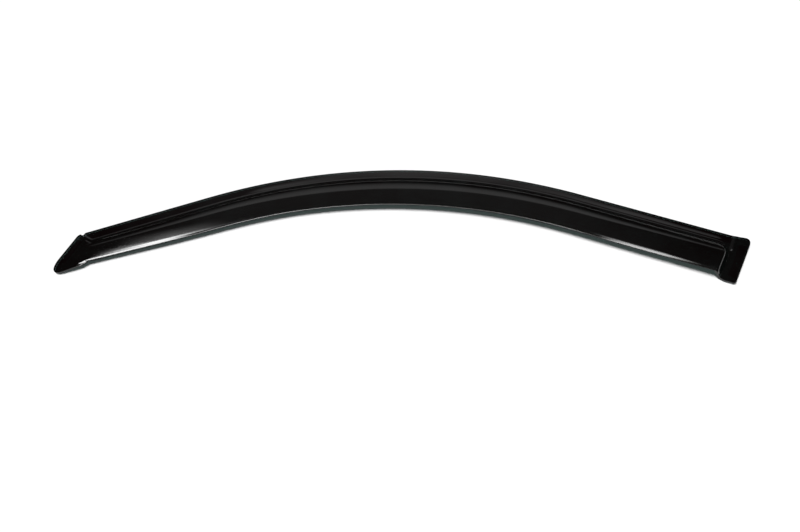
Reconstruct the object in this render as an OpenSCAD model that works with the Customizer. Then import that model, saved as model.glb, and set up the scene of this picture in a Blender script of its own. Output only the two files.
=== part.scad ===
// Tape-on window rain deflector for a front side door, lying on its tape with the outer face up.
// Plan coordinates: s runs along the top edge from its highest point, w runs across from that edge
// towards the lip. The narrow tip is at -X, the wide rear end at +X, the lip side faces -Y.

/* [Top edge in plan] */
// Radius of the arch between the two straight runs
arch_r = 850; // [600:5:1400]
// Angle of the straight run along the windscreen pillar
front_slope = 20.5; // [12:0.5:26]
// Angle of the straight run along the roof
rear_slope = 19.4; // [12:0.5:26]
// Length of the front straight run, up to the notch at the tip pad
front_run = 190; // [80:1:320]
// Length of the rear straight run, up to the notch at the rear pad
rear_run = 234; // [100:1:380]

/* [Sheet and tape] */
// Thickness of the smoked sheet
wall = 3; // [2:0.1:4]
// Thickness of the foam tape
tape_t = 1; // [0.6:0.1:2]
// Width of the foam tape on the flange
tape_w = 10; // [6:0.5:12]
// Distance of the tape from the edge of the sheet
tape_inset = 1.5; // [1:0.25:4]

/* [Section] */
// Width of the flat flange that carries the tape
flange_w = 13; // [12:0.5:20]
// Width of the step from the flange up to the blade
step_run = 11.5; // [8:0.5:14]
// Height of the step's upper edge over the flange
step_rise = 7; // [3:0.25:8]
// Share of the step's full height that is left at the tip
tip_step = 0.4; // [0.3:0.05:1]
// Distance of the crest from the edge at the rear
rear_crest = 47.5; // [42:0.5:52]
// Distance of the crest from the edge at the tip
tip_crest = 31.5; // [29:0.5:40]
// How early the crest moves out behind the tip
crest_swell = 4; // [1:0.1:6]
// Height of the crest over the flange
crest_rise = 11.6; // [6:0.1:20]
// Height of the lip over the flange, before its rolled edge
lip_rise = 10.6; // [4:0.1:20]
// Drop of the rolled edge at the lip
lip_roll = 1.6; // [0:0.1:4]
// Share of the full height that is left at the tip
tip_height = 0.42; // [0.4:0.01:1]
// How early the height is gained behind the tip
height_swell = 1.9; // [1:0.1:4]

/* [Width from edge to lip] */
// Width at the tip end
tip_w = 54; // [52:0.5:80]
// Width at the rear end
rear_w = 76.5; // [60:0.5:110]
// How early the width is gained behind the tip
swell = 2.6; // [1:0.1:4]

/* [End pads] */
// Slant of the rear pad's outer edge
rear_slant = 12.3; // [0:0.1:25]
// Length of the rear pad beyond the notch, along the top edge
rear_pad = 21.5; // [10:0.5:40]
// Flat width of the rear pad between its edge and the blade's end wall
rear_flat = 21; // [15:0.5:40]
// Length of the end wall's slope at the rear
rear_wall_run = 13; // [8:0.5:30]
// How far the rear pad reaches below the lip line
rear_drop = 5.5; // [0:0.25:12]
// How far the rear pad's corner reaches above the line of the top edge
rear_flare = 2.5; // [0:0.25:6]
// Slant of the tip pad's outer edge
tip_slant = 43; // [20:1:50]
// Length of the tip pad beyond the notch, along the top edge
tip_pad = 6.5; // [2:0.5:12]
// Slant of the upper edge of the tip's end facet
facet_slant = 14; // [0:1:40]
// Distance from the notch at the tip to the upper edge of the end facet, on the top edge
facet_start = 13; // [8:0.5:40]
// Flat width of the tip pad between its edge and the foot of the end facet
tip_flat = 10; // [6:0.5:16]
// How far the tip pad reaches below the lip line
tip_drop = 3; // [0:0.25:8]

/* [Hidden] */

// Sheet: heights of the flange's two faces over the window frame
flange_under = tape_t;
flange_top = tape_t + wall;

// Section: places across the sheet, from its edge
step_end = flange_w + step_run;
// Shares of the step taken by its rounded foot and its rounded upper edge
foot_share = 0.25;
brow_share = 0.2;
// Width of the rolled edge at the lip
roll_w = 4.5;
// Slight lift of the flange where it runs into the step
lift_h = 0.35;
lift_at = flange_w + 2;
lift_w = 9;

// Top edge: lengths of its two arcs, and the places where the pads begin
front_arc = arch_r * front_slope * PI / 180;
rear_arc = arch_r * rear_slope * PI / 180;
tip_notch = -(front_arc + front_run);
rear_notch = rear_arc + rear_run;
tip_start = tip_notch - tip_pad;
rear_start = rear_notch + rear_pad;
// Notch at the tip pad
notch_depth = 3;
notch_half = 4;
// Where the rear pad's upper edge begins to rise, before the pad, and over which distance
flare_lead = 4;
flare_reach = 20;

// Distance behind the notch at the tip over which the blade closes the flange
close_lead = 2;
close_reach = 16;
// Rounding between the end facet and the blade, as a share of the height there
facet_brow = 0.15;

// Raised rib that closes the flange in front of the rear pad
rib_h = 0.8;
rib_w = 6;
rib_reach = 30;
rib_lean = -0.16;

// Radii of the pads' corners, and how far behind the pads' edges their rounding fades out
tip_nose_r = 25;
tip_peak_r = 3;
rear_corner_r = 7;
rear_foot_r = 3;
corner_reach = 40;
// Rounding of the blade's upper corner at the rear, in lengths of the step
rear_brow = 1.9;

// Distance over which the pads' slant fades into the straight columns of the sheet
slant_reach = 95;
// Distances over which the lower edge steps down to each pad, and where those steps begin
tip_drop_reach = 16;
tip_drop_lead = 2;
rear_drop_reach = 22;
rear_drop_lead = 30;
// Distance across the sheet over which the upper edge's shifts fade out
notch_fade = 9;
// Distance over which the inner face takes its slope
probe = 0.1;
smoke = [0.10, 0.11, 0.11];
foam = [0.2, 0.2, 0.2];

function clamp(x, lo = 0, hi = 1) = max(lo, min(hi, x));
function ease(x) = let (c = clamp(x)) c * c * (3 - 2 * c);
// A hump of height 1 at 0 that ends smoothly at +-1
function hump(x) = abs(x) >= 1 ? 0 : pow(1 - x * x, 2);

// Direction of the top edge, in degrees, and the point s along it
function heading(s) = clamp(-s / arch_r * 180 / PI, -rear_slope, front_slope);
function edge_point(s) =
    let (a = clamp(s, -front_arc, rear_arc), turn = a / arch_r * 180 / PI, h = heading(s))
    [arch_r * sin(turn) + (s - a) * cos(h), arch_r * (cos(turn) - 1) + (s - a) * sin(h)];
// Plan point that lies w across from the edge, with the tape's middle on the origin
function plan(s, w) =
    let (p = edge_point(s), h = heading(s))
    [p[0] + w * sin(h), p[1] - w * cos(h) + tape_inset + tape_w / 2];

// Growth of a size from the tip to the rear, the earlier the greater the rate is
function grown(s, tip, rear, rate) =
    rear - (rear - tip) * pow(1 - clamp((s - tip_notch) / (rear_notch - tip_notch)), rate);
function lip_at(s) = grown(s, tip_w, rear_w, swell);
function crest_at(s) = grown(s, tip_crest, rear_crest, crest_swell);
function step_height(s) = step_rise * grown(s, tip_step, 1, swell);
function flange_at(s) = flange_w * ease((s - tip_notch + close_lead) / close_reach);
function height_share(s) = grown(s, tip_height, 1, height_swell);
// Lower edge of the sheet, with the pads that reach below the lip
function lower_edge(s) =
    lip_at(s) + tip_drop * ease((tip_notch + tip_drop_lead - s) / tip_drop_reach)
    + rear_drop * ease((s - rear_notch + rear_drop_lead) / rear_drop_reach);
// Upper edge of the sheet, with its notch at the tip and its raised corner at the rear
function upper_edge(s) =
    notch_depth * hump((s - tip_notch) / notch_half)
    - rear_flare * ease((s - rear_notch + flare_lead) / flare_reach);

// Step from 0 to 1 with a rounded foot and a rounded upper edge
function step(x) =
    let (m = 1 / (1 - foot_share / 2 - brow_share / 2))
    x <= 0 ? 0 :
    x < foot_share ? m * x * x / (2 * foot_share) :
    x < 1 - brow_share ? m * (x - foot_share / 2) :
    x < 1 ? 1 - m * pow(1 - x, 2) / (2 * brow_share) : 1;
// The smaller of two distances, rounded where both are under r
function corner(a, b, r) = a < r && b < r ? r - norm([r - a, r - b]) : min(a, b);

// Distances inside the blade's foot in lengths of the step, from the flange alone and from the rear wall too
function across(s, w) = (w - flange_at(s)) / step_run;
function inside(s, w) =
    let (rear_foot = rear_start - w * tan(rear_slant) - rear_flat)
    corner(across(s, w), (rear_foot - s) / rear_wall_run, rear_brow);

// Height of the blade over the flange, from the step over the crest to the rolled lip
function blade_rise(s, w) =
    let (crest = crest_at(s), top = height_share(s) * crest_rise, shoulder = step_height(s),
         before = (crest - w) / (crest - step_end), after = (w - crest) / (lip_at(s) - crest))
    w < crest ? max(top - (top - shoulder) * before * before, shoulder * clamp(across(s, w)))
              : top - height_share(s) * (crest_rise - lip_rise) * after * after;
function roll(s, w) = lip_roll * pow(clamp((w - lip_at(s) + roll_w) / roll_w), 2);
function blade(s, w) = step(inside(s, w)) * (blade_rise(s, w) - roll(s, w));

// Height of the tip's end facet over the pad, which rises from the pad's flat rim to the blade
function facet(s, w) =
    let (foot = tip_start - w * tan(tip_slant) + tip_flat,
         top = tip_notch + facet_start - w * tan(facet_slant),
         x = (s - foot) / (top - foot))
    tip_height * crest_rise * (x <= 0 ? 0 : x < foot_share ? x * x / (2 * foot_share) : x - foot_share / 2);
// Limit of 1 to a share, with a rounding of b to both sides
function cap(x, b) = x <= 1 - b ? x : x < 1 + b ? 1 - pow(1 + b - x, 2) / (4 * b) : 1;

// Outer face without its lift and rib, which the inner face follows at the sheet's thickness
function form(s, w) =
    let (p = plan(s, w), full = blade(s, w))
    [p[0], p[1], flange_top + (full > 0 ? full * cap(facet(s, w) / full, facet_brow) : 0)];
function lifts(s, w) =
    let (rib = (s - rear_notch - rib_lean * w) / rib_w)
    lift_h * hump((w - lift_at) / lift_w) * step(clamp(-(rib + 1) / 2)) * flange_at(s) / flange_w
    + rib_h * hump(rib) * (1 - ease((w - rib_reach + rib_w) / rib_w));
function outer(s, w) = form(s, w) + [0, 0, lifts(s, w)];
function inner(s, w) =
    let (e = probe / 2,
         along = form(s + e, w) - form(s - e, w),
         across = form(s, w + e) - form(s, w - e),
         n = cross(across, along),
         p = form(s, w) - wall * n / norm(n))
    [p[0], p[1], max(p[2], flange_under)];

// Columns of the sheet: where each meets the top edge, closer at the ends where the form turns
end_reach = 58;
end_pitch = 2.7;
slant_pitch = 7.5;
arch_pitch = 21.5;
function spread(a, b, pitch) = let (n = ceil((b - a) / pitch)) [for (i = [0 : n - 1]) a + (b - a) * i / n];
columns = concat(
    spread(tip_start, tip_start + end_reach, end_pitch),
    spread(tip_start + end_reach, tip_start + slant_reach, slant_pitch),
    spread(tip_start + slant_reach, rear_start - slant_reach, arch_pitch),
    spread(rear_start - slant_reach, rear_start - end_reach, slant_pitch),
    spread(rear_start - end_reach, rear_start, end_pitch),
    [rear_start]);
function slant(s) =
    -tan(tip_slant) * ease((tip_start + slant_reach - s) / slant_reach)
    - tan(rear_slant) * ease((s - rear_start + slant_reach) / slant_reach);
// Inset of a rounded corner of radius r at depth d before the edge
function round_in(d, r) = d >= r ? 0 : r - sqrt(max(0, r * r - pow(r - d, 2)));
function at_tip(s) = clamp(1 - (s - tip_start) / corner_reach);
function at_rear(s) = clamp(1 - (rear_start - s) / corner_reach);
function column_s(s, w, low) =
    s + slant(s) * w
    + at_tip(s) * (round_in(low - w, tip_nose_r) + round_in(w, tip_peak_r))
    - at_rear(s) * (round_in(low - w, rear_foot_r) + round_in(w, rear_corner_r));

// Rows of the sheet: places across it up to the step's end, then shares of the way to the lower edge
rim_rows = [0, 0.4, 1.2, 2.5];
rim_end = 4.5;
flange_pitch = 2.2;
step_pitch = 1.3;
rows_across = concat(
    rim_rows,
    spread(rim_end, flange_w, flange_pitch),
    spread(flange_w, step_end, step_pitch));
rows_blade = [0, 0.07, 0.15, 0.25, 0.38, 0.55, 0.73, 0.85, 0.93, 0.975, 0.99, 1];
row_count = len(rows_across) + len(rows_blade);
// Lower edge under a column, found where the column crosses it
function low_at(s) =
    let (first = lower_edge(s + slant(s) * rear_w)) lower_edge(s + slant(s) * first);
function row_w(j, low) =
    j < len(rows_across) ? rows_across[j]
    : step_end + (low - step_end) * rows_blade[j - len(rows_across)];
function station(s, j) =
    let (low = low_at(s), w = row_w(j, low), along = column_s(s, w, low),
         pushed = w + upper_edge(along) * clamp(1 - w / notch_fade))
    [along, pushed];

module deflector() {
    stations = [for (s = columns) for (j = [0 : row_count - 1]) station(s, j)];
    n = len(stations);
    cols = len(columns);
    function at(i, j) = i * row_count + j;
    function quad(a, b, c, d) = [[a, b, c], [a, c, d]];
    points = concat([for (t = stations) outer(t[0], t[1])], [for (t = stations) inner(t[0], t[1])]);
    faces = concat(
        [for (i = [0 : cols - 2]) for (j = [0 : row_count - 2])
            each quad(at(i, j), at(i + 1, j), at(i + 1, j + 1), at(i, j + 1))],
        [for (i = [0 : cols - 2]) for (j = [0 : row_count - 2])
            each quad(n + at(i, j), n + at(i, j + 1), n + at(i + 1, j + 1), n + at(i + 1, j))],
        [for (i = [0 : cols - 2])
            each quad(at(i + 1, 0), at(i, 0), n + at(i, 0), n + at(i + 1, 0))],
        [for (i = [0 : cols - 2])
            each quad(at(i, row_count - 1), at(i + 1, row_count - 1),
                      n + at(i + 1, row_count - 1), n + at(i, row_count - 1))],
        [for (j = [0 : row_count - 2])
            each quad(at(0, j), at(0, j + 1), n + at(0, j + 1), n + at(0, j))],
        [for (j = [0 : row_count - 2])
            each quad(at(cols - 1, j + 1), at(cols - 1, j), n + at(cols - 1, j), n + at(cols - 1, j + 1))]);
    color(smoke) polyhedron(points, faces, convexity = 6);
}

// Foam tape along the flange, cut square at both ends
tape_gap = 6;
arch_step = 2;
tape_stations = concat(
    [tip_notch + tape_gap],
    [for (turn = [-front_slope : arch_step : rear_slope]) turn * arch_r * PI / 180],
    [rear_arc, rear_notch - tape_gap]);
module flange_tape() {
    last = len(tape_stations) - 1;
    outline = concat(
        [for (s = tape_stations) plan(s, tape_inset)],
        [for (i = [last : -1 : 0]) plan(tape_stations[i], tape_inset + tape_w)]);
    color(foam) linear_extrude(tape_t) polygon(outline);
}

// Foam tape under each end pad, along its slanted edge
pad_tape_inset = 2.5;
pad_tape_from = 10;
pad_tape_end = 14;
module pad_tape(start, angle, side, reach) {
    k = -tan(angle);
    corners = [
        plan(start + k * pad_tape_from + side * pad_tape_inset, pad_tape_from),
        plan(start + k * reach + side * pad_tape_inset, reach),
        plan(start + k * reach + side * (pad_tape_inset + tape_w), reach),
        plan(start + k * pad_tape_from + side * (pad_tape_inset + tape_w), pad_tape_from)];
    color(foam) linear_extrude(tape_t) polygon(corners);
}
module tip_tape() pad_tape(tip_start, tip_slant, 1, tip_w - pad_tape_end);
module rear_tape() pad_tape(rear_start, rear_slant, -1, rear_w - pad_tape_end / 2);

deflector();
flange_tape();
tip_tape();
rear_tape();
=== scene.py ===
"""Window rain deflector in smoked acrylic, lying on its foam tape on a white studio table.

The sheet's form follows plan coordinates: s runs along its top edge from the edge's highest
point, negative towards the narrow tip and positive towards the wide rear end, and w runs across
from that edge to the lip. Sizes are in millimetres and angles in degrees until a vertex is
placed. Patterns follow Object coordinates, in metres.
"""

import logging
import math
from dataclasses import dataclass, field
from enum import Enum
from functools import reduce

import bmesh
import bpy
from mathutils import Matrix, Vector


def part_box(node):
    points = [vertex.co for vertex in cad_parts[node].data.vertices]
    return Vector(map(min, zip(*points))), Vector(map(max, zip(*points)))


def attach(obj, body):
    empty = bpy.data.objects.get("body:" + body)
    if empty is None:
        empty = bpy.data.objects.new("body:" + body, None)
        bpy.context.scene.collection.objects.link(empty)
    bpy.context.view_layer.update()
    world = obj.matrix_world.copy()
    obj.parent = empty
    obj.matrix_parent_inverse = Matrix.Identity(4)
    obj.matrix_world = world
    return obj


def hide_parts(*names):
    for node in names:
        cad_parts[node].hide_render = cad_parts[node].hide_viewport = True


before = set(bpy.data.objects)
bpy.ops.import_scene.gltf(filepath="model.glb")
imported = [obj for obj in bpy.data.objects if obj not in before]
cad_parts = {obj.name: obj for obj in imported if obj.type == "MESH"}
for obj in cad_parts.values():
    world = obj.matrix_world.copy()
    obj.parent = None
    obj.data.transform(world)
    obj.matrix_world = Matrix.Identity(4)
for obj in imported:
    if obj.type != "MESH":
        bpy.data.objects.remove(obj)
log = logging.getLogger("rain_deflector")

MM = 0.001
PHOTO_WIDTH = 800

Colour = tuple[float, float, float]
Triple = tuple[float, float, float]


def clamp(value: float, low: float = 0.0, high: float = 1.0) -> float:
    """Return value, held between low and high."""
    return max(low, min(high, value))


def ease(value: float) -> float:
    """Return a smooth rise from 0 to 1 over the same range."""
    c = clamp(value)
    return c * c * (3 - 2 * c)


def hump(value: float) -> float:
    """Return a hump of height 1 at 0 that ends smoothly at -1 and 1."""
    return 0.0 if abs(value) >= 1 else (1 - value * value) ** 2


class Wire:
    """A socket of a shader tree on which Python arithmetic adds Math nodes."""

    def __init__(self, tree: "ShaderTree", socket: bpy.types.NodeSocket | None) -> None:
        """Keep the tree and the output socket that carries the value."""
        self.tree = tree
        self.socket = socket

    def _math(self, operation: str, *values: "Wire | float") -> "Wire":
        """Return the output of a Math node with an operation and its inputs in order."""
        return self.tree.node("ShaderNodeMath", {"operation": operation}, dict(enumerate(values)))

    def __add__(self, other: "Wire | float") -> "Wire":
        """Return self + other."""
        return self._math("ADD", self, other)

    __radd__ = __add__

    def __sub__(self, other: "Wire | float") -> "Wire":
        """Return self - other."""
        return self._math("SUBTRACT", self, other)

    def __rsub__(self, other: float) -> "Wire":
        """Return other - self."""
        return self._math("SUBTRACT", other, self)

    def __mul__(self, other: "Wire | float") -> "Wire":
        """Return self * other."""
        return self._math("MULTIPLY", self, other)

    __rmul__ = __mul__

    def __truediv__(self, other: "Wire | float") -> "Wire":
        """Return self / other."""
        return self._math("DIVIDE", self, other)

    def __rtruediv__(self, other: float) -> "Wire":
        """Return other / self."""
        return self._math("DIVIDE", other, self)

    def at_least(self, other: "Wire | float") -> "Wire":
        """Return the greater of self and other."""
        return self._math("MAXIMUM", self, other)

    def step(self, middle: float, soft: float) -> "Wire":
        """Return a smooth rise from 0 to 1 around a middle, soft to each side."""
        return self.ramp(middle - soft, middle + soft)

    def ramp(self, low: float, high: float) -> "Wire":
        """Return a smooth rise from 0 at low to 1 at high."""
        ends = {"Value": self, "From Min": low, "From Max": high}
        return self.tree.node("ShaderNodeMapRange", {"interpolation_type": "SMOOTHSTEP"}, ends)

    def sibling(self, output: str) -> "Wire":
        """Return another output of the node that this wire leaves."""
        return Wire(self.tree, self.socket.node.outputs[output])


class Ray(Enum):
    """Kinds of light rays that a shader can tell apart."""

    CAMERA = "Is Camera Ray"
    GLOSSY = "Is Glossy Ray"
    TRANSMISSION = "Is Transmission Ray"


@dataclass(frozen=True)
class Patches:
    """A noise that shows as separate patches.

    Args:
        scale: How fine it is, in cells for each metre.
        detail: How many finer layers it has.
        low: The noise at which a patch starts.
        high: The noise at which it is full.
        roughness: The weight of the finer layers.
        film: The share of the second colour in a patch.
        dull: The roughness that a patch adds.
    """

    scale: float
    detail: float
    low: float
    high: float
    roughness: float = 0.5
    film: float = 0.0
    dull: float = 0.0


@dataclass(frozen=True)
class Relief:
    """How a height shows in the light.

    Args:
        strength: The share of the effect.
        depth: The depth of a height of 1, in metres.
    """

    strength: float
    depth: float


class ShaderTree:
    """A node tree of a material or of the world, emptied and ready to be built."""

    # A Mix node's factor and two colours among its inputs, and its colour among its outputs.
    MIX_INPUTS = (0, 6, 7)
    MIX_RESULT = 2

    def __init__(self, owner: bpy.types.Material | bpy.types.World) -> None:
        """Empty the node tree of a material or world."""
        owner.use_nodes = True
        self.owner = owner
        self.tree = owner.node_tree
        self.tree.nodes.clear()

    def node(
        self,
        kind: str,
        settings: dict[str, object] | None = None,
        inputs: dict[int | str, object] | None = None,
        output: int | str = 0,
    ) -> Wire:
        """Add a node, set it up and return one of its outputs.

        Args:
            kind: The node's type name.
            settings: Properties to set first, such as a Math node's operation.
            inputs: Values or wires by the input's name or number.
            output: The output to return, by name or number.

        Returns:
            The chosen output.
        """
        made = self.tree.nodes.new(kind)
        for key, value in (settings or {}).items():
            setattr(made, key, value)
        for key, value in (inputs or {}).items():
            if isinstance(value, Wire):
                self.tree.links.new(value.socket, made.inputs[key])
            else:
                made.inputs[key].default_value = value
        return Wire(self, made.outputs[output] if made.outputs else None)

    def place(self) -> Wire:
        """Return the place on the piece, in metres."""
        return self.node("ShaderNodeTexCoord", output="Object")

    def noise(
        self, vector: Wire, scale: float, detail: float = 2.0, roughness: float = 0.5
    ) -> Wire:
        """Return a noise between 0 and 1, at a scale in cells for each metre."""
        sockets = {"Vector": vector, "Scale": scale, "Detail": detail, "Roughness": roughness}
        return self.node("ShaderNodeTexNoise", {"noise_dimensions": "3D"}, sockets)

    def patches(self, vector: Wire, kind: Patches) -> Wire:
        """Return 1 inside patches of a kind and 0 between them."""
        noise = self.noise(vector, kind.scale, kind.detail, kind.roughness)
        return noise.ramp(kind.low, kind.high)

    def stretched(self, vector: Wire, scale: Triple, turn: float = 0.0) -> Wire:
        """Return the vector scaled by axis and turned about Z by an angle in degrees."""
        sockets = {"Vector": vector, "Scale": scale, "Rotation": (0.0, 0.0, math.radians(turn))}
        return self.node("ShaderNodeMapping", {"vector_type": "POINT"}, sockets)

    def blend(self, factor: Wire | float, first: Colour, second: Colour) -> Wire:
        """Return a colour mixed from first to second by the factor."""
        sockets = dict(zip(self.MIX_INPUTS, (factor, (*first, 1.0), (*second, 1.0))))
        return self.node("ShaderNodeMix", {"data_type": "RGBA"}, sockets, self.MIX_RESULT)

    def bump(self, height: Wire, relief: Relief, under: Wire | None = None) -> Wire:
        """Return a normal that follows a height from 0 to 1, over a coarser bump's if given."""
        sockets = {"Strength": relief.strength, "Distance": relief.depth, "Height": height}
        if under is not None:
            sockets["Normal"] = under
        return self.node("ShaderNodeBump", None, sockets)

    def any_ray(self, *kinds: Ray) -> Wire:
        """Return 1 where the ray is of one of the kinds and 0 elsewhere."""
        seen = [self.node("ShaderNodeLightPath", output=kind.value) for kind in kinds]
        return reduce(Wire.at_least, seen)

    def surface(self, shader: Wire, output: str = "ShaderNodeOutputMaterial") -> None:
        """Join the shader to the tree's output."""
        self.node(output, None, {"Surface": shader})


@dataclass(frozen=True)
class SmokedAcrylic:
    """Polished smoked acrylic sheet: near black from outside, with a little light let through.

    Args:
        name: Name of the material.
        body: Colour of the sheet.
        dust: Colour of the thin film of dust.
        see_through: Share of the light that passes one face.
        tint: Colour of the light that passes.
        polish: Roughness of a clean place.
        refraction: Index of refraction.
        haze: Cloudy places of the film.
        specks: Grains of dust.
        speck_height: Share of the specks in the skin's height.
        hairlines: Fine scratches, from long cells.
        hairline_stretch: How narrow their cells are along each axis.
        hairline_turn: The scratches' direction.
        sag_scale: Fineness of the slow waves that moulding leaves.
        sag_stretch: How narrow the waves are along each axis.
        sag_relief: How the waves show.
        peel_scale: Fineness of the skin's ripple.
        skin_relief: How the ripple and the specks show.
    """

    name: str = "smoked_acrylic"
    body: Colour = (0.0022, 0.0010, 0.0011)
    dust: Colour = (0.006, 0.0065, 0.0065)
    see_through: float = 0.030
    tint: Colour = (0.75, 1.0, 0.96)
    polish: float = 0.035
    refraction: float = 1.49
    haze: Patches = Patches(16.0, 3.0, 0.42, 0.75, 0.6, film=0.35, dull=0.02)
    specks: Patches = Patches(900.0, 1.0, 0.70, 0.78, film=0.25, dull=0.08)
    speck_height: float = 0.3
    hairlines: Patches = Patches(70.0, 2.0, 0.60, 0.72, dull=0.02)
    hairline_stretch: Triple = (1.0, 22.0, 22.0)
    hairline_turn: float = 16.0
    sag_scale: float = 9.0
    sag_stretch: Triple = (1.0, 2.0, 2.0)
    sag_relief: Relief = Relief(0.35, 0.0006)
    peel_scale: float = 240.0
    skin_relief: Relief = Relief(0.06, 0.0002)

    def material(self) -> bpy.types.Material:
        """Return the new material with its nodes."""
        tree = ShaderTree(bpy.data.materials.new(self.name))
        place = tree.place()
        haze = tree.patches(place, self.haze)
        specks = tree.patches(place, self.specks)
        scratched = tree.stretched(place, self.hairline_stretch, self.hairline_turn)
        hairlines = tree.patches(scratched, self.hairlines)
        film = haze * self.haze.film + specks * self.specks.film
        dulled = self.polish + haze * self.haze.dull + specks * self.specks.dull
        sag = tree.noise(tree.stretched(place, self.sag_stretch), self.sag_scale, detail=1.0)
        peel = tree.noise(place, self.peel_scale, detail=1.0)
        waves = tree.bump(sag, self.sag_relief)
        ripple = peel * (1 - self.speck_height) + specks * self.speck_height
        gloss = tree.node(
            "ShaderNodeBsdfPrincipled", None,
            {
                "Base Color": tree.blend(film, self.body, self.dust),
                "Roughness": dulled + hairlines * self.hairlines.dull,
                "IOR": self.refraction,
                "Normal": tree.bump(ripple, self.skin_relief, waves),
            },
        )
        clear = tree.node("ShaderNodeBsdfTransparent", None, {"Color": (*self.tint, 1.0)})
        inside = tree.node("ShaderNodeNewGeometry", output="Backfacing")
        passed = self.see_through + (1 - self.see_through) * inside
        tree.surface(tree.node("ShaderNodeMixShader", None, {0: passed, 1: gloss, 2: clear}))
        return tree.owner


@dataclass(frozen=True)
class CutEdge:
    """Flamed cut edge of the acrylic sheet, less even than its faces.

    Args:
        name: Name of the material.
        body: Colour of the sheet.
        marks: Colour of the cutter's marks.
        polish: Roughness of a clean place.
        refraction: Index of refraction.
        chatter_scale: Fineness of the cutter's marks.
        chatter_stretch: How narrow the marks are along each axis.
        chatter_relief: How the marks show.
        dull: Places that the flame left dull.
    """

    name: str = "cut_edge"
    body: Colour = (0.003, 0.0035, 0.0035)
    marks: Colour = (0.012, 0.013, 0.013)
    polish: float = 0.20
    refraction: float = 1.49
    chatter_scale: float = 1100.0
    chatter_stretch: Triple = (1.0, 1.0, 0.2)
    chatter_relief: Relief = Relief(0.25, 0.0002)
    dull: Patches = Patches(60.0, 2.0, 0.4, 0.7, dull=0.12)

    def material(self) -> bpy.types.Material:
        """Return the new material with its nodes."""
        tree = ShaderTree(bpy.data.materials.new(self.name))
        place = tree.place()
        chatter = tree.noise(tree.stretched(place, self.chatter_stretch), self.chatter_scale)
        dull = tree.patches(place, self.dull)
        tree.surface(tree.node(
            "ShaderNodeBsdfPrincipled", None,
            {
                "Base Color": tree.blend(chatter * dull, self.body, self.marks),
                "Roughness": self.polish + dull * self.dull.dull,
                "IOR": self.refraction,
                "Normal": tree.bump(chatter, self.chatter_relief),
            },
        ))
        return tree.owner


@dataclass(frozen=True)
class FoamTape:
    """Closed-cell foam tape, with fine cells along its cut sides.

    Args:
        name: Name of the material.
        body: Colour of the foam.
        cell_wall: Colour of the walls between its cells.
        wall_band: Distances from a cell's middle between which its wall sets in.
        wall_share: How far a wall takes that colour.
        cell_scale: Fineness of the cells.
        cell_relief: How the cells show.
        matt: Roughness of a clean place.
        grime_scale: Fineness of the uneven places.
        grime_share: How far such a place takes the walls' colour.
        grime_dull: Roughness that it adds.
    """

    name: str = "foam_tape"
    body: Colour = (0.028, 0.028, 0.029)
    cell_wall: Colour = (0.060, 0.060, 0.061)
    wall_band: tuple[float, float] = (0.25, 0.75)
    wall_share: float = 0.6
    cell_scale: float = 2600.0
    cell_relief: Relief = Relief(0.5, 0.0003)
    matt: float = 0.82
    grime_scale: float = 45.0
    grime_share: float = 0.3
    grime_dull: float = 0.12

    def material(self) -> bpy.types.Material:
        """Return the new material with its nodes."""
        tree = ShaderTree(bpy.data.materials.new(self.name))
        place = tree.place()
        cells = tree.node(
            "ShaderNodeTexVoronoi", {"feature": "F1"}, {"Vector": place, "Scale": self.cell_scale}
        )
        walls = cells.ramp(*self.wall_band)
        grime = tree.noise(place, self.grime_scale, detail=3.0)
        pale = walls * self.wall_share + grime * self.grime_share
        tree.surface(tree.node(
            "ShaderNodeBsdfPrincipled", None,
            {
                "Base Color": tree.blend(pale, self.body, self.cell_wall),
                "Roughness": self.matt + grime * self.grime_dull,
                "Normal": tree.bump(walls, self.cell_relief),
            },
        ))
        return tree.owner


@dataclass(frozen=True)
class TopEdge:
    """Top edge in plan: an arch between two straight runs, with the tape's middle on the origin."""

    arch_radius: float = 850.0
    front_slope: float = 20.5
    rear_slope: float = 19.4
    front_run: float = 190.0
    rear_run: float = 234.0
    tip_pad: float = 6.5
    rear_pad: float = 21.5
    tape_middle: float = 6.5

    @property
    def front_arc(self) -> float:
        """Return the length of the arch in front of its highest point."""
        return self.arch_radius * math.radians(self.front_slope)

    @property
    def rear_arc(self) -> float:
        """Return the length of the arch behind its highest point."""
        return self.arch_radius * math.radians(self.rear_slope)

    @property
    def tip_notch(self) -> float:
        """Return the place of the notch at the tip pad."""
        return -(self.front_arc + self.front_run)

    @property
    def rear_notch(self) -> float:
        """Return the place of the notch at the rear pad."""
        return self.rear_arc + self.rear_run

    @property
    def tip_start(self) -> float:
        """Return the place of the tip pad's outer corner."""
        return self.tip_notch - self.tip_pad

    @property
    def rear_start(self) -> float:
        """Return the place of the rear pad's outer corner."""
        return self.rear_notch + self.rear_pad

    def plan(self, s: float, w: float) -> tuple[float, float]:
        """Return the x and y of the point that lies w across from the edge at s."""
        on_arch = clamp(s, -self.front_arc, self.rear_arc)
        turn = on_arch / self.arch_radius
        rest = s - on_arch
        heading = -turn
        x = self.arch_radius * math.sin(turn) + rest * math.cos(heading)
        y = self.arch_radius * (math.cos(turn) - 1) + rest * math.sin(heading)
        return x + w * math.sin(heading), y - w * math.cos(heading) + self.tape_middle


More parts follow.
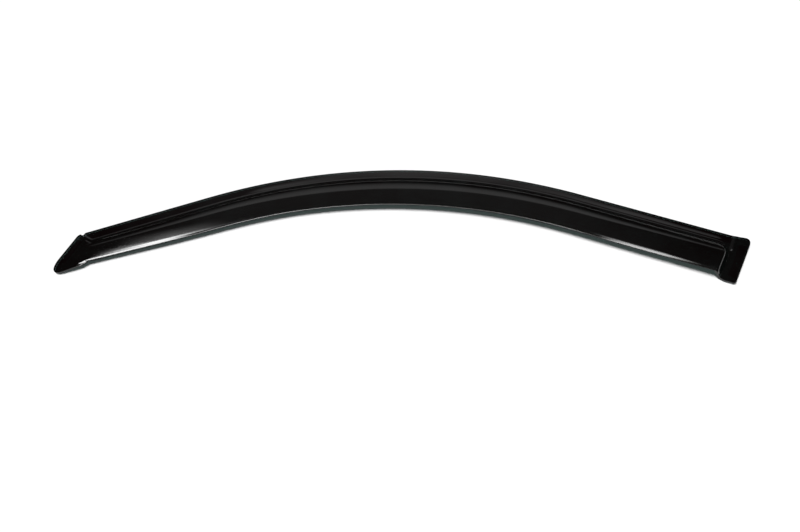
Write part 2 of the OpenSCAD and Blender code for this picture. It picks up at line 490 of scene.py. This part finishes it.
@dataclass(frozen=True)
class Section:
    """Section across the sheet: flange, step, crest and rolled lip.

    Args:
        wall: Thickness of the sheet.
        flange_width: Width of the flat flange.
        step_run: Length of the step across, at the rear.
        step_rise: Height of the step's upper edge, at the rear.
        foot_share: Share of the step that its rounded foot takes.
        brow_share: Share that its rounded upper edge takes.
        crest_rise: Height of the blade's highest line, at the rear.
        lip_rise: Height of the lip, before it is rolled down.
        lip_roll: Drop of the rolled lip.
        roll_width: Width of the rolled lip.
    """

    wall: float = 3.0
    flange_width: float = 13.0
    step_run: float = 16.0
    step_rise: float = 8.0
    foot_share: float = 0.2
    brow_share: float = 0.35
    crest_rise: float = 11.6
    lip_rise: float = 10.6
    lip_roll: float = 1.6
    roll_width: float = 4.5

    def step(self, x: float) -> float:
        """Return the step's rise from 0 to 1 at x lengths of the step, with both ends rounded."""
        slope = 1 / (1 - self.foot_share / 2 - self.brow_share / 2)
        if x <= 0:
            return 0.0
        if x < self.foot_share:
            return slope * x * x / (2 * self.foot_share)
        if x < 1 - self.brow_share:
            return slope * (x - self.foot_share / 2)
        if x < 1:
            return 1 - slope * (1 - x) ** 2 / (2 * self.brow_share)
        return 1.0

    def roll(self, w: float, lip: float) -> float:
        """Return the drop of the rolled edge at the lip."""
        return self.lip_roll * clamp((w - lip + self.roll_width) / self.roll_width) ** 2


@dataclass(frozen=True)
class End:
    """What both ends of the sheet have.

    Args:
        width: Distance from the top edge to the lip.
        crest: Distance from the top edge to the crest.
        slant: Angle of the pad's end.
        flat: Width of the pad's flat part.
        drop: How far the pad reaches below the lip.
        drop_reach: Length in which it gets there.
        drop_lead: Where that starts, on the blade's side of the notch.
    """

    width: float
    crest: float
    slant: float
    flat: float
    drop: float
    drop_reach: float
    drop_lead: float


@dataclass(frozen=True)
class TipEnd(End):
    """Narrow end: its pad's slanted edge and the low end wall of the blade.

    Args:
        height_share: Share of the rear's height that the blade has here.
        step_share: Share of the rear's step that is left here.
        step_run: Length of the step across.
        facet_slant: Angle of the end wall's upper edge.
        facet_start: Where that edge starts, behind the notch.
        facet_brow: Rounding of that edge, as a share of the height.
        close_lead: How far before the notch the blade leaves the top edge.
        close_reach: Length in which the flange grows to its full width.
        nose_radius: Radius of the pad's lower corner.
        peak_radius: Radius of its upper corner.
        notch_depth: Depth of the notch in the top edge.
        notch_half: Half length of the notch.
    """

    width: float = 54.0
    crest: float = 31.5
    height_share: float = 0.42
    step_share: float = 0.4
    step_run: float = 11.5
    slant: float = 43.0
    facet_slant: float = 14.0
    facet_start: float = 13.0
    facet_brow: float = 0.15
    flat: float = 10.0
    close_lead: float = 2.0
    close_reach: float = 16.0
    drop: float = 3.0
    drop_reach: float = 16.0
    drop_lead: float = 2.0
    nose_radius: float = 25.0
    peak_radius: float = 3.0
    notch_depth: float = 3.0
    notch_half: float = 4.0


@dataclass(frozen=True)
class RearEnd(End):
    """Wide end: its flat pad and the end wall of the blade.

    Args:
        crest_drop: How far the crest falls back to the top edge here.
        crest_reach: Length in which it does.
        wall_run: Length of the end wall.
        flare: How far the pad's corner stands over the top edge.
        flare_lead: Where that starts, before the notch.
        flare_reach: Length in which it gets there.
        corner_radius: Radius of the pad's upper corner.
        foot_radius: Radius of its lower corner.
        brow: Rounding where the step meets the end wall, in lengths of the step.
    """

    width: float = 76.5
    crest: float = 46.5
    crest_drop: float = 5.0
    crest_reach: float = 270.0
    slant: float = 12.3
    flat: float = 21.0
    wall_run: float = 13.0
    drop: float = 5.5
    drop_reach: float = 22.0
    drop_lead: float = 30.0
    flare: float = 2.5
    flare_lead: float = 4.0
    flare_reach: float = 20.0
    corner_radius: float = 7.0
    foot_radius: float = 3.0
    brow: float = 1.9


@dataclass(frozen=True)
class FlangeLean:
    """Lean of the flange towards the step, and the hollow that it bends into near both ends.

    Args:
        slope: Slope of the flange past the tip.
        start: Where it starts, along the top edge.
        reach: Length in which it grows.
        rear_slope: Slope that the rear adds.
        rear_reach: Length in which that grows.
        hollow: How much more hollow the flange is at the tip.
        hollow_start: Where that ends, along the top edge.
        hollow_reach: Length in which it grows towards the tip.
    """

    slope: float = 0.018
    start: float = -290.0
    reach: float = 76.5
    rear_slope: float = 0.029
    rear_reach: float = 440.0
    hollow: float = 2.0
    hollow_start: float = -80.0
    hollow_reach: float = 130.0

    def slope_at(self, s: float) -> float:
        """Return the flange's slope across, which grows towards the rear."""
        front = self.slope * ease((s - self.start) / self.reach)
        return front + self.rear_slope * ease(s / self.rear_reach) ** 2

    def power_at(self, s: float, behind: float) -> float:
        """Return the power of the flange's curve across, where behind is s from the rear notch."""
        at_tip = self.hollow * ease((self.hollow_start - s) / self.hollow_reach)
        return 1 + at_tip + ease(behind / self.rear_reach + 1)


@dataclass(frozen=True)
class Rib:
    """Low rib that crosses the flange in front of the rear pad."""

    height: float = 0.8
    width: float = 6.0
    reach: float = 30.0
    lean: float = -0.16

    def rise(self, behind: float, w: float) -> float:
        """Return the rib's height at w across, where behind is s from the rear notch."""
        low_end = 1 - ease((w - self.reach + self.width) / self.width)
        return self.height * hump((behind - self.lean * w) / self.width) * low_end


@dataclass(frozen=True)
class Belly:
    """Slight bow of the lip away from the top edge, behind the tip."""

    depth: float = 2.0
    middle: float = -330.0
    reach: float = 170.0

    def bow(self, s: float) -> float:
        """Return how far the lip is bowed out."""
        return self.depth * hump((s - self.middle) / self.reach)


@dataclass(frozen=True)
class Grid:
    """Spacing of the sheet's columns and rows, which lie closer where the form bends.

    Args:
        columns: Number of columns from the tip to the rear.
        rows: Number of rows from the top edge to the lower edge.
        column_shares: Shares of the columns at which their spacing changes.
        row_shares: Shares of the rows at which their spacing changes.
        end_rim: Width of the closest columns, along either cut end.
        tip_detail: Reach of the close columns at the tip.
        rear_detail: Reach of the close columns at the rear.
        top_rim: Width of the closest rows, along the top edge.
        foot_margin: How far before the step the close rows start.
        brow_margin: How far past the step they end.
        lip_band: Width of the close rows at the lower edge.
        lip_rim: Width of the closest of them.
    """

    columns: int = 640
    rows: int = 60
    column_shares: tuple[float, ...] = (0.0, 0.01, 0.22, 0.30, 0.68, 0.78, 0.99, 1.0)
    row_shares: tuple[float, ...] = (0.0, 0.05, 0.18, 0.48, 0.80, 0.95, 1.0)
    end_rim: float = 1.5
    tip_detail: float = 70.0
    rear_detail: float = 62.0
    top_rim: float = 1.6
    foot_margin: float = 1.0
    brow_margin: float = 1.5
    lip_band: float = 9.0
    lip_rim: float = 1.2

    @staticmethod
    def spread(shares: tuple[float, ...], places: list[float], share: float) -> float:
        """Return the place for a share of the grid, evenly between the places at given shares."""
        for low, high, start, end in zip(shares, shares[1:], places, places[1:]):
            if share <= high:
                return start + (end - start) * (share - low) / (high - low)
        return places[-1]


@dataclass
class Moulding:
    """The moulded sheet: flange, step, raised blade and end pads in one piece.

    Args:
        edge: The top edge in plan.
        section: Sizes across the sheet.
        tip: Sizes of the narrow end.
        rear: Sizes of the wide end.
        lean: The flange's lean.
        rib: The rib in front of the rear pad.
        belly: The lip's bow.
        grid: The mesh's spacing.
        skin: Finish of the faces.
        rim: Finish of the cut edges.
        tape_thickness: Height of the flange's underside.
        swell: How early the width and the step grow behind the tip.
        crest_swell: How early the crest moves away from the top edge.
        height_swell: How early the blade rises.
        slant_reach: Length in which the columns take up the ends' slant.
        corner_reach: Length in which they take up the pads' corners.
        edge_fade: Width in which the top edge's shift fades out.
        edge_radius: Radius of the sheet's cut edges.
        normal_reach: Step along the form that gives its normal.
    """

    edge: TopEdge = field(default_factory=TopEdge)
    section: Section = field(default_factory=Section)
    tip: TipEnd = field(default_factory=TipEnd)
    rear: RearEnd = field(default_factory=RearEnd)
    lean: FlangeLean = field(default_factory=FlangeLean)
    rib: Rib = field(default_factory=Rib)
    belly: Belly = field(default_factory=Belly)
    grid: Grid = field(default_factory=Grid)
    skin: SmokedAcrylic = field(default_factory=SmokedAcrylic)
    rim: CutEdge = field(default_factory=CutEdge)
    tape_thickness: float = 1.0
    swell: float = 2.6
    crest_swell: float = 4.0
    height_swell: float = 1.9
    slant_reach: float = 95.0
    corner_reach: float = 40.0
    edge_fade: float = 9.0
    edge_radius: float = 0.3
    normal_reach: float = 0.05

    def grown(self, s: float, tip: float, rear: float, rate: float) -> float:
        """Return a size that grows from the tip to the rear, the earlier the higher its rate."""
        along = (s - self.edge.tip_notch) / (self.edge.rear_notch - self.edge.tip_notch)
        return rear - (rear - tip) * (1 - clamp(along)) ** rate

    def lip_at(self, s: float) -> float:
        """Return the lip's distance from the top edge."""
        return self.grown(s, self.tip.width, self.rear.width, self.swell) + self.belly.bow(s)

    def crest_at(self, s: float) -> float:
        """Return the crest's distance from the top edge, which falls off again at the rear."""
        drop = ease((s - self.edge.rear_notch) / self.rear.crest_reach + 1) * self.rear.crest_drop
        return self.grown(s, self.tip.crest, self.rear.crest, self.crest_swell) - drop

    def step_run(self, s: float) -> float:
        """Return the step's length across."""
        return self.grown(s, self.tip.step_run, self.section.step_run, self.crest_swell)

    def step_height(self, s: float) -> float:
        """Return the height of the step's upper edge over the flange."""
        return self.section.step_rise * self.grown(s, self.tip.step_share, 1.0, self.swell)

    def height_share(self, s: float) -> float:
        """Return the share of the full height that the blade has."""
        return self.grown(s, self.tip.height_share, 1.0, self.height_swell)

    def flange_at(self, s: float) -> float:
        """Return the flange's width, which the blade closes behind the notch at the tip."""
        behind_notch = s - self.edge.tip_notch + self.tip.close_lead
        return self.section.flange_width * ease(behind_notch / self.tip.close_reach)

    def across(self, s: float, w: float) -> float:
        """Return the distance inside the step's foot, in lengths of the step."""
        return (w - self.flange_at(s)) / self.step_run(s)

    def blade_rise(self, s: float, w: float) -> float:
        """Return the blade's height over the flange, from the step over the crest to the lip."""
        part, share, crest = self.section, self.height_share(s), self.crest_at(s)
        top, shoulder = share * part.crest_rise, self.step_height(s)
        if w < crest:
            run = crest - part.flange_width - self.step_run(s)
            rounded = top - (top - shoulder) * ((crest - w) / run) ** 2
            return max(rounded, shoulder * clamp(self.across(s, w)))
        fall = share * (part.crest_rise - part.lip_rise)
        return top - fall * ((w - crest) / (self.lip_at(s) - crest)) ** 2

    def lower_edge(self, s: float) -> float:
        """Return the lower edge's place across, with the pads that reach below the lip."""
        tip, rear = self.tip, self.rear
        at_tip = ease((self.edge.tip_notch + tip.drop_lead - s) / tip.drop_reach)
        at_rear = ease((s - self.edge.rear_notch + rear.drop_lead) / rear.drop_reach)
        return self.lip_at(s) + tip.drop * at_tip + rear.drop * at_rear

    def upper_edge(self, s: float) -> float:
        """Return the top edge's shift towards the lip: a notch at the tip, a flare at the rear."""
        tip, rear = self.tip, self.rear
        notch = tip.notch_depth * hump((s - self.edge.tip_notch) / tip.notch_half)
        flare = ease((s - self.edge.rear_notch + rear.flare_lead) / rear.flare_reach)
        return notch - rear.flare * flare

    @staticmethod
    def corner(first: float, second: float, radius: float) -> float:
        """Return the smaller of two distances, rounded where both are under the radius."""
        both = first < radius and second < radius
        return radius - math.hypot(radius - first, radius - second) if both else min(first, second)

    def blade(self, s: float, w: float) -> float:
        """Return the blade's height over the flange with its step, rear end wall and rolled lip."""
        slant = math.tan(math.radians(self.rear.slant))
        rear_foot = self.edge.rear_start - w * slant - self.rear.flat
        wall = (rear_foot - s) / self.rear.wall_run
        inside = self.corner(self.across(s, w), wall, self.rear.brow)
        rise = self.blade_rise(s, w) - self.section.roll(w, self.lip_at(s))
        return self.section.step(inside) * rise

    def facet(self, s: float, w: float) -> float:
        """Return the height of the tip's end facet, from the pad's flat rim up to the blade."""
        tip, rounded = self.tip, self.section.foot_share
        foot = self.edge.tip_start - w * math.tan(math.radians(tip.slant)) + tip.flat
        top_slant = math.tan(math.radians(tip.facet_slant))
        top = self.edge.tip_notch + tip.facet_start - w * top_slant
        x = (s - foot) / (top - foot)
        if x <= 0:
            return 0.0
        rise = x * x / (2 * rounded) if x < rounded else x - rounded / 2
        return tip.height_share * self.section.crest_rise * rise

    @staticmethod
    def cap(share: float, rounding: float) -> float:
        """Return the share limited to 1, rounded where it lies within a rounding of the limit."""
        if share <= 1 - rounding:
            return share
        return 1 - (1 + rounding - share) ** 2 / (4 * rounding) if share < 1 + rounding else 1.0

    def form(self, s: float, w: float) -> Vector:
        """Return the outer face's point, without the flange's lean and the rib."""
        x, y = self.edge.plan(s, w)
        full = self.blade(s, w)
        share = self.cap(self.facet(s, w) / full, self.tip.facet_brow) if full > 0 else 0.0
        return Vector((x, y, self.tape_thickness + self.section.wall + full * share))

    def lift(self, s: float, w: float) -> float:
        """Return the height that the flange's lean and the rib add to the outer face."""
        part, behind = self.section, s - self.edge.rear_notch
        power = self.lean.power_at(s, behind)
        rise = part.flange_width * clamp(w / part.flange_width) ** power
        over_step = 1 - ease((w - part.flange_width) / part.step_run)
        before_rib = 1 - ease(behind / self.rib.reach + 1)
        leaning = self.lean.slope_at(s) * (over_step * before_rib) * rise
        return leaning + self.rib.rise(behind, w)

    def outer(self, s: float, w: float) -> Vector:
        """Return a point of the outer face."""
        return self.form(s, w) + Vector((0.0, 0.0, self.lift(s, w)))

    def inner(self, s: float, w: float) -> Vector:
        """Return the inner face's point, a wall's thickness inside and never under the flange."""
        reach = self.normal_reach
        along = self.form(s + reach, w) - self.form(s - reach, w)
        across = self.form(s, w + reach) - self.form(s, w - reach)
        under = self.form(s, w) - self.section.wall * across.cross(along).normalized()
        under.z = max(under.z, self.tape_thickness)
        return under

    def column_at(self, share: float) -> float:
        """Return where a column meets the top edge, by its share of the grid from the tip."""
        tip, rear, grid = self.edge.tip_start, self.edge.rear_start, self.grid
        places = [tip, tip + grid.end_rim, tip + grid.tip_detail, tip + self.slant_reach]
        places += [rear - self.slant_reach, rear - grid.rear_detail, rear - grid.end_rim, rear]
        return grid.spread(grid.column_shares, places, share)

    def row_at(self, share: float, low: float) -> float:
        """Return a row's place across, by its share of the grid down to the lower edge at low."""
        part, grid = self.section, self.grid
        brow = part.flange_width + part.step_run + grid.brow_margin
        places = [0.0, grid.top_rim, part.flange_width - grid.foot_margin, brow]
        places += [low - grid.lip_band, low - grid.lip_rim, low]
        return grid.spread(grid.row_shares, places, share)

    def slant(self, s: float) -> float:
        """Return the slope in plan of the column at s, which suits the pads' edges at the ends."""
        at_tip = ease((self.edge.tip_start + self.slant_reach - s) / self.slant_reach)
        at_rear = ease((s - self.edge.rear_start + self.slant_reach) / self.slant_reach)
        tip, rear = math.radians(self.tip.slant), math.radians(self.rear.slant)
        return -math.tan(tip) * at_tip - math.tan(rear) * at_rear

    @staticmethod
    def round_in(depth: float, radius: float) -> float:
        """Return the inset of a rounded corner at a depth before the edge."""
        inside = max(0.0, radius ** 2 - (radius - depth) ** 2)
        return 0.0 if depth >= radius else radius - math.sqrt(inside)

    def station(self, share_along: float, share_across: float) -> tuple[float, float]:
        """Return the s and w of a point of the grid, by its shares from the tip and top edge."""
        s = self.column_at(share_along)
        slope = self.slant(s)
        # A slanted column meets the lower edge at another s, which two steps find closely.
        low = self.lower_edge(s + slope * self.lower_edge(s + slope * self.rear.width))
        w = self.row_at(share_across, low)
        near_tip = clamp(1 - (s - self.edge.tip_start) / self.corner_reach)
        near_rear = clamp(1 - (self.edge.rear_start - s) / self.corner_reach)
        nose = self.round_in(low - w, self.tip.nose_radius) + self.round_in(w, self.tip.peak_radius)
        foot = self.round_in(low - w, self.rear.foot_radius)
        corner = foot + self.round_in(w, self.rear.corner_radius)
        along = s + slope * w + near_tip * nose - near_rear * corner
        return along, w + self.upper_edge(along) * clamp(1 - w / self.edge_fade)

    def build(self) -> bpy.types.Object:
        """Build the sheet as one closed mesh with rounded cut edges and return its object."""
        sheet = bmesh.new()
        # The grid is one unit wide and long, so a vertex's place in it gives its two shares.
        segments = {"x_segments": self.grid.columns, "y_segments": self.grid.rows}
        bmesh.ops.create_grid(sheet, size=0.5, **segments)
        places = {vert: self.station(vert.co.x + 0.5, 0.5 - vert.co.y) for vert in sheet.verts}
        copy = bmesh.ops.duplicate(sheet, geom=[*sheet.verts, *sheet.edges, *sheet.faces])
        under = copy["vert_map"]
        for vert, (s, w) in places.items():
            vert.co = self.outer(s, w) * MM
            under[vert].co = self.inner(s, w) * MM
        faces_below = [part for part in copy["geom"] if isinstance(part, bmesh.types.BMFace)]
        bmesh.ops.reverse_faces(sheet, faces=faces_below)
        cuts = [edge for edge in sheet.edges if edge.is_boundary]
        for face in bmesh.ops.bridge_loops(sheet, edges=cuts)["faces"]:
            face.material_index = 1
        bmesh.ops.bevel(
            sheet, geom=cuts, offset=self.edge_radius * MM, offset_type="OFFSET",
            affect="EDGES", segments=2, profile=0.5, material=-1, clamp_overlap=True,
        )
        for face in sheet.faces:
            face.smooth = True
        return new_piece("moulded_sheet", sheet)

    def dress(self, sheet: bpy.types.Object) -> None:
        """Give the sheet's faces and its cut edges their materials, in this order."""
        for finish in (self.skin, self.rim):
            sheet.data.materials.append(finish.material())


@dataclass
class Tapes:
    """The strips of foam tape under the sheet, whose shapes are the frame's own."""

    finish: FoamTape = field(default_factory=FoamTape)
    ending: str = "tape"

    def dress(self) -> None:
        """Give every tape of the frame the foam's material."""
        material = self.finish.material()
        for name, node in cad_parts.items():
            if name.endswith(self.ending):
                node.data.materials.clear()
                node.data.materials.append(material)
                log.info("dressed %s", name)


def new_piece(name: str, mesh: bmesh.types.BMesh) -> bpy.types.Object:
    """Return a new object in the scene that holds the finished mesh, and free the mesh."""
    data = bpy.data.meshes.new(name)
    mesh.to_mesh(data)
    mesh.free()
    made = bpy.data.objects.new(name, data)
    bpy.context.scene.collection.objects.link(made)
    return made


@dataclass(frozen=True)
class Card:
    """A lit card over the table, as polished faces see it.

    Args:
        left: Where it starts, in metres to the right for each metre of height.
        right: Where it ends.
        near: Its near end, in metres away from the camera's side for each metre of height.
        far: Its far end.
        side_soft: Half width of its faded sides.
        near_soft: Half width of its faded near end.
        far_soft: Half width of its faded far end.
        strength: Its brightness, where 1 is white.
        lean: How far its sides shift to the right for each metre away.
    """

    left: float
    right: float
    near: float
    far: float
    side_soft: float
    near_soft: float
    far_soft: float
    strength: float
    lean: float = 0.0

    def seen(self, across: Wire, away: Wire) -> Wire:
        """Return the brightness in a direction, whose two runs are for a unit of height."""
        straight = across - away * self.lean
        past_left = straight.step(self.left, self.side_soft)
        wide = past_left * (1 - straight.step(self.right, self.side_soft))
        past_near = away.step(self.near, self.near_soft)
        deep = past_near * (1 - away.step(self.far, self.far_soft))
        return wide * deep * self.strength


class Light(Enum):
    """The bright parts of the studio that a polished face mirrors."""

    FAR_WALL = Card(
        left=-0.85, right=0.95, near=0.84, far=1.65,
        side_soft=0.45, near_soft=0.055, far_soft=0.92, strength=0.71,
    )
    CEILING = Card(
        left=-0.50, right=0.45, near=-1.60, far=0.84,
        side_soft=0.22, near_soft=0.40, far_soft=0.055, strength=0.12,
    )
    WINDOW_TOP = Card(
        left=-0.33, right=-0.21, near=-0.08, far=0.50,
        side_soft=0.07, near_soft=0.06, far_soft=0.04, strength=24.0, lean=-0.45,
    )
    WINDOW_SILL = Card(
        left=-0.44, right=-0.25, near=-0.60, far=-0.08,
        side_soft=0.03, near_soft=0.06, far_soft=0.06, strength=24.0, lean=-0.33,
    )
    WINDOW_GLOW = Card(
        left=-0.30, right=-0.17, near=-0.10, far=0.56,
        side_soft=0.07, near_soft=0.08, far_soft=0.07, strength=3.0, lean=-0.42,
    )
    LIP_LAMP = Card(
        left=0.18, right=0.30, near=-0.85, far=0.10,
        side_soft=0.035, near_soft=0.15, far_soft=0.40, strength=14.0, lean=0.32,
    )


@dataclass
class Studio:
    """White table, soft overhead light and the camera at the photograph's angle.

    Args:
        camera_height: Height of the camera over the table.
        camera_back: Its distance in front of the top edge.
        camera_pitch: Its angle below the horizon.
        focal_pixels: Focal length in the photograph's pixels.
        sensor: Width of the sensor.
        table_half: Half width of the table, in metres.
        table_cells: Number of its mesh's cells along each side.
        table_colour: Colour of the table.
        table_roughness: Roughness of the table.
        table_glow: Light that the table adds where it is seen.
        lamp_strength: Strength of the overhead light.
        lamp_angle: How wide, and so how soft, it is.
        lamp_lean_back: How far it leans away from the camera's side.
        lamp_lean_left: How far it leans to the left.
        fill: Strength of the room's light on dull surfaces.
        horizon: Least rise of a mirrored direction.
        flag_cells: Numbers of the black card's cells, along and across.
        flag_colour: Colour of the card.
        flag_near: Gap between the part and the card.
        flag_far: Distance to the card's far side.
        flag_spread: Length of the card, in lengths of the part.
        flag_lift: Height of the card over the table.
    """

    camera_height: float = 715.0
    camera_back: float = 570.0
    camera_pitch: float = 61.0
    focal_pixels: float = 560.0
    sensor: float = 36.0
    table_half: float = 6.0
    table_cells: int = 8
    table_colour: Colour = (0.90, 0.90, 0.90)
    table_roughness: float = 0.7
    table_glow: float = 0.008
    lamp_strength: float = 3.75
    lamp_angle: float = 28.0
    lamp_lean_back: float = 10.4
    lamp_lean_left: float = 20.0
    fill: float = 0.05
    horizon: float = 0.02
    flag_cells: tuple[int, int] = (48, 4)
    flag_colour: Colour = (0.004, 0.004, 0.004)
    flag_near: float = 27.0
    flag_far: float = 600.0
    flag_spread: float = 1.4
    flag_lift: float = 0.2

    def camera(self, top_edge: float) -> None:
        """Place the camera in front of the top edge, whose highest point is at y = top_edge."""
        data = bpy.data.cameras.new("camera")
        data.sensor_fit = "HORIZONTAL"
        data.sensor_width = self.sensor
        data.lens = self.focal_pixels / PHOTO_WIDTH * self.sensor
        made = bpy.data.objects.new("camera", data)
        made.location = Vector((0.0, top_edge - self.camera_back, self.camera_height)) * MM
        made.rotation_euler = (math.radians(90.0 - self.camera_pitch), 0.0, 0.0)
        bpy.context.scene.collection.objects.link(made)
        bpy.context.scene.camera = made

    def lamp(self) -> None:
        """Set the soft light over the table, which polished faces don't mirror."""
        data = bpy.data.lights.new("overhead", "SUN")
        data.energy = self.lamp_strength
        data.angle = math.radians(self.lamp_angle)
        made = bpy.data.objects.new("overhead", data)
        lean_back, lean_left = math.radians(self.lamp_lean_back), math.radians(self.lamp_lean_left)
        made.rotation_euler = (-lean_back, -lean_left, 0.0)
        made.visible_glossy = False
        bpy.context.scene.collection.objects.link(made)

    def table(self) -> None:
        """Lay the white table, which keeps the part's shadow."""
        top = bmesh.new()
        cells = self.table_cells
        bmesh.ops.create_grid(top, x_segments=cells, y_segments=cells, size=self.table_half)
        made = new_piece("table", top)
        tree = ShaderTree(bpy.data.materials.new("white_table"))
        tree.surface(tree.node(
            "ShaderNodeBsdfPrincipled", None,
            {
                "Base Color": (*self.table_colour, 1.0),
                "Roughness": self.table_roughness,
                "Specular IOR Level": 0.0,
                "Emission Color": (1.0, 1.0, 1.0, 1.0),
                "Emission Strength": tree.any_ray(*Ray) * self.table_glow,
            },
        ))
        made.data.materials.append(tree.owner)

    def flag(self, edge: TopEdge) -> None:
        """Lay a black card behind the part's top edge, which only polished faces see."""
        card = bmesh.new()
        columns, rows = self.flag_cells
        bmesh.ops.create_grid(card, x_segments=columns, y_segments=rows, size=0.5)
        for vert in card.verts:
            along = vert.co.x * self.flag_spread + 0.5
            s = edge.tip_start + (edge.rear_start - edge.tip_start) * along
            behind = self.flag_near + (self.flag_far - self.flag_near) * (vert.co.y + 0.5)
            x, y = edge.plan(s, -behind)
            vert.co = Vector((x, y, self.flag_lift)) * MM
        made = new_piece("black_flag", card)
        tree = ShaderTree(bpy.data.materials.new("black_felt"))
        tree.surface(tree.node("ShaderNodeBsdfDiffuse", None, {"Color": (*self.flag_colour, 1.0)}))
        made.data.materials.append(tree.owner)
        for ray in ("camera", "diffuse", "transmission", "shadow"):
            setattr(made, f"visible_{ray}", False)

    def room(self) -> None:
        """Build the world: white behind the table, and the studio's lights in polished faces."""
        world = bpy.data.worlds.new("studio")
        bpy.context.scene.world = world
        tree = ShaderTree(world)
        direction = tree.node("ShaderNodeTexCoord", output="Generated")
        x = tree.node("ShaderNodeSeparateXYZ", None, {"Vector": direction}, "X")
        above = x.sibling("Z").at_least(self.horizon)
        across, away = x / above, x.sibling("Y") / above
        mirrored = sum((light.value.seen(across, away) for light in Light), 0.0)
        camera = tree.any_ray(Ray.CAMERA)
        polished = tree.any_ray(Ray.GLOSSY, Ray.TRANSMISSION)
        lit = polished * mirrored + (1 - polished) * self.fill
        strength = camera + (1 - camera) * lit
        white = {"Color": (1.0, 1.0, 1.0, 1.0), "Strength": strength}
        tree.surface(tree.node("ShaderNodeBackground", None, white), "ShaderNodeOutputWorld")

    def build(self, edge: TopEdge) -> None:
        """Set up the camera, the lights, the table and the world around the part's top edge."""
        bpy.context.scene.view_settings.view_transform = "Standard"
        self.camera(edge.tape_middle)
        self.lamp()
        self.table()
        self.flag(edge)
        self.room()


def main() -> None:
    """Build the moulding, dress it and its tapes, and set up the studio."""
    logging.basicConfig(level=logging.INFO, format="%(message)s")
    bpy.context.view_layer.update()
    moulding = Moulding(tape_thickness=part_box("flange_tape")[1].z / MM)
    sheet = moulding.build()
    moulding.dress(sheet)
    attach(sheet, "root")
    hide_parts("deflector")
    log.info("built %s with %d faces", sheet.name, len(sheet.data.polygons))
    Tapes().dress()
    Studio().build(moulding.edge)


if __name__ == "__main__":
    main()
